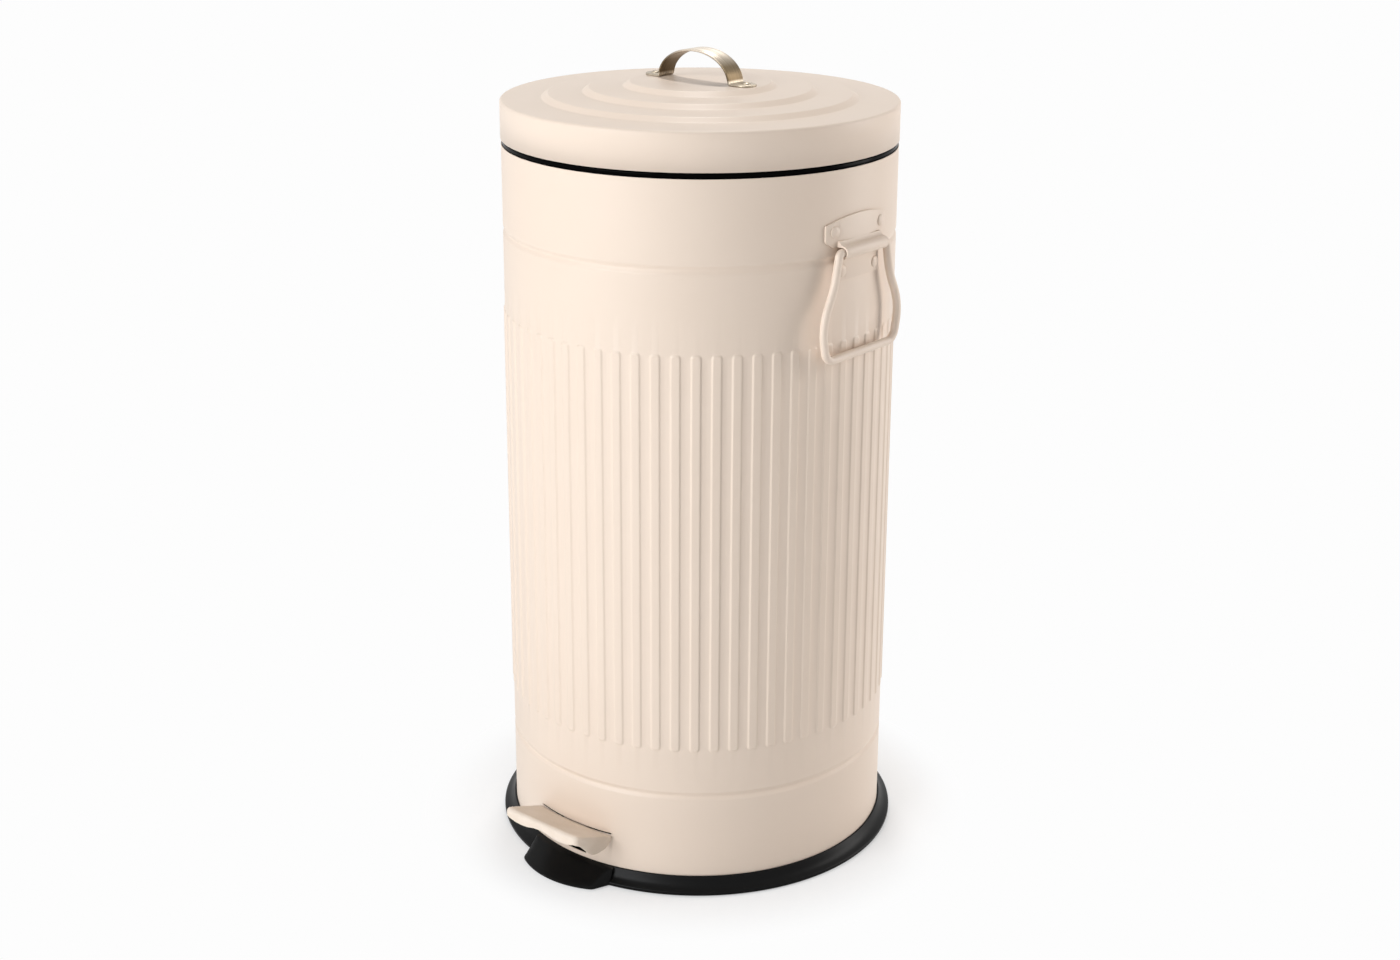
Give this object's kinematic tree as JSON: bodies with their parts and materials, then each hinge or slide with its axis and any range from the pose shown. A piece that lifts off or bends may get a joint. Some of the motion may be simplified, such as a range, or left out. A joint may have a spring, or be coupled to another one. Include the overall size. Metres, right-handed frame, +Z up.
{
  "type": "pedal bin",
  "caption": "Round steel pedal bin with a ribbed drum, a hinged ring-stepped lid with a strap handle, side carrying handles, a lift-out bucket and a black base.",
  "frame": {"origin": "on the floor, on the drum's axis", "axes": "+Z up; the pedal looks along -Y and the lid is hinged at +Y; +X is the right-hand carrying handle seen from behind the pedal's user"},
  "size_m": [0.3136, 0.3425, 0.6115],
  "materials": {
    "cream_paint": "satin powder coat",
    "champagne_steel": "brushed",
    "black_plastic": "moulded, semi gloss",
    "zinc_steel": "zinc plated",
    "bucket_plastic": "moulded, matt",
    "rubber": "matt"
  },
  "bodies": {
    "bin": {"outer_shell": "cream_paint", "base": "black_plastic", "pedal_pivot_pin": "zinc_steel", "pedal_pivot_clips": "zinc_steel", "rubber_feet": "rubber", "top_collar": "black_plastic", "hinge_bracket": "cream_paint", "hinge_rivets": "cream_paint", "hinge_pin": "zinc_steel", "rod_guide": "zinc_steel", "rod_guide_rivets": "cream_paint", "handle_plate_right": "cream_paint", "handle_plate_left": "cream_paint", "handle_rivets_right": "cream_paint", "handle_rivets_left": "cream_paint", "inner_bucket": "bucket_plastic", "bucket_bail": "zinc_steel"},
    "lid": {"lid_shell": "cream_paint", "lid_handle": "champagne_steel", "lid_handle_rivets": "champagne_steel", "lid_hinge_arm": "cream_paint", "lid_arm_rivets": "cream_paint"},
    "pedal": {"pedal_lever": "cream_paint", "pedal_pad": "cream_paint", "pedal_rivets": "cream_paint"},
    "rod": {"push_rod": "zinc_steel", "rod_caps": "zinc_steel"},
    "handle_right": {"bail_right": "cream_paint"},
    "handle_left": {"bail_left": "cream_paint"}
  },
  "joints": [
    {"name": "lid_hinge", "type": "hinge", "parent": "bin", "child": "lid", "pos_m": [0, 0.155, 0.536], "axis": [-1, 0, 0], "range_deg": [0, 80]},
    {"name": "pedal_pivot", "type": "hinge", "parent": "bin", "child": "pedal", "pos_m": [0, -0.055, 0.0305], "axis": [1, 0, 0], "range_deg": [0, 9.33]},
    {"name": "rod_pivot", "type": "hinge", "parent": "lid", "child": "rod", "pos_m": [0, 0.13661, 0.52057], "axis": [1, 0, 0], "range_deg": [0, 80]},
    {"name": "handle_right_swing", "type": "hinge", "parent": "bin", "child": "handle_right", "pos_m": [0.151, 0, 0.486], "axis": [0, -1, 0], "range_deg": [0, 170]},
    {"name": "handle_left_swing", "type": "hinge", "parent": "bin", "child": "handle_left", "pos_m": [-0.151, 0, 0.486], "axis": [0, 1, 0], "range_deg": [0, 170]}
  ],
  "couplings": [
    {"joint": "pedal_pivot", "follows": "lid_hinge", "ratio": 0.11643},
    {"joint": "rod_pivot", "follows": "lid_hinge", "ratio": 1}
  ]
}
